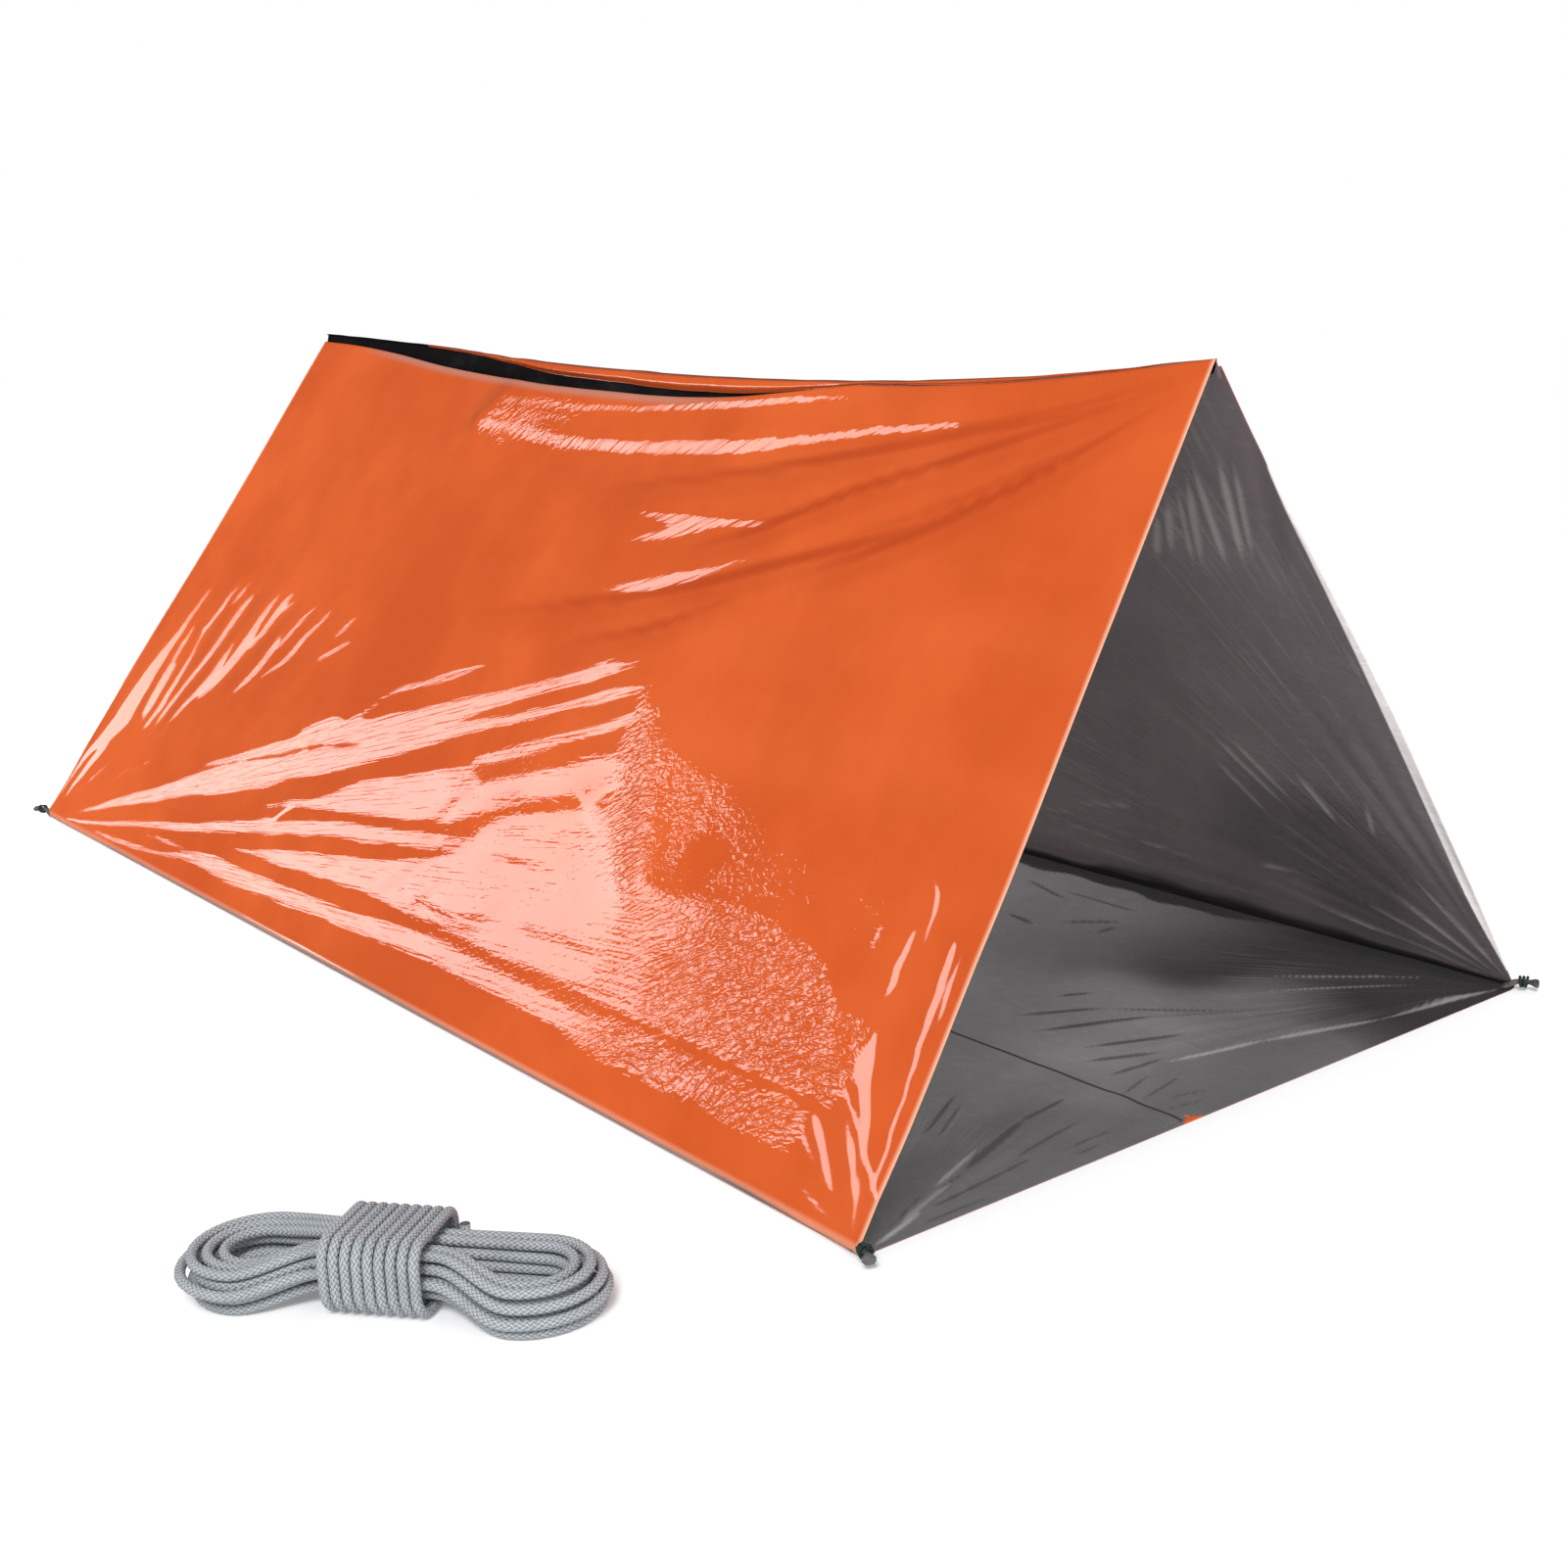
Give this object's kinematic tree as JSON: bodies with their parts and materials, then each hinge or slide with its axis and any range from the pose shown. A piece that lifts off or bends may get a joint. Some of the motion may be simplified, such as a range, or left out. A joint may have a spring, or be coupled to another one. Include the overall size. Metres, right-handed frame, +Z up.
{
  "type": "tube tent",
  "caption": "Open-ended triangular tube tent of thin film, dark inside, with tied ground corners, walls that fold down low and a hank of braided cord.",
  "frame": {"origin": "on the ground under the middle of the tent, measured without the cord hank", "axes": "+Z up, +Y along the tent towards its back opening, +X towards the right wall seen from the front opening"},
  "size_m": [1.6211, 2.4736, 0.838],
  "materials": {
    "outer_film": "glossy orange polyethylene film",
    "inner_film": "satin dark grey inner face of the film",
    "tie_cord": "dark thin cord",
    "hank_cord": "braided grey cord"
  },
  "bodies": {
    "floor": {"floor_sheet": "inner_film", "floor_lap_seam": "inner_film", "corner_gather_front_left": "inner_film", "corner_gather_front_right": "inner_film", "corner_gather_back_left": "inner_film", "corner_gather_back_right": "inner_film", "corner_tie_front_left": "tie_cord", "corner_tie_front_right": "tie_cord", "corner_tie_back_left": "tie_cord", "corner_tie_back_right": "tie_cord"},
    "left_lower": {"left_wall_lower": "outer_film"},
    "left_upper": {"left_wall_upper": "outer_film", "ridge_roll": "outer_film"},
    "right_upper": {"right_wall_upper": "outer_film"},
    "right_lower": {"right_wall_lower": "outer_film"},
    "hank": {"cord_hank": "hank_cord", "cord_waist_wrap": "hank_cord"}
  },
  "joints": [
    {"name": "left_base_fold", "type": "hinge", "parent": "floor", "child": "left_lower", "pos_m": [-0.54, 0, 0.003], "axis": [0, -1, 0], "range_deg": [0, 108]},
    {"name": "left_crease_fold", "type": "hinge", "parent": "left_lower", "child": "left_upper", "pos_m": [-0.41724, 0, 0.19168], "axis": [0, -1, 0], "range_deg": [-158, 0]},
    {"name": "ridge_fold", "type": "hinge", "parent": "left_upper", "child": "right_upper", "pos_m": [0, 0, 0.833], "axis": [0, -1, 0], "range_deg": [0, 100]},
    {"name": "right_crease_fold", "type": "hinge", "parent": "right_upper", "child": "right_lower", "pos_m": [0.41724, 0, 0.19168], "axis": [0, -1, 0], "range_deg": [-158, 0]},
    {"name": "cord_lift", "type": "slide", "parent": "floor", "child": "hank", "axis": [0, 0, 1], "range_m": [0, 0.3]}
  ],
  "couplings": [
    {"joint": "left_crease_fold", "follows": "left_base_fold", "ratio": -1.4628},
    {"joint": "ridge_fold", "follows": "left_base_fold", "ratio": 0.92566},
    {"joint": "right_crease_fold", "follows": "left_base_fold", "ratio": -1.4628}
  ]
}
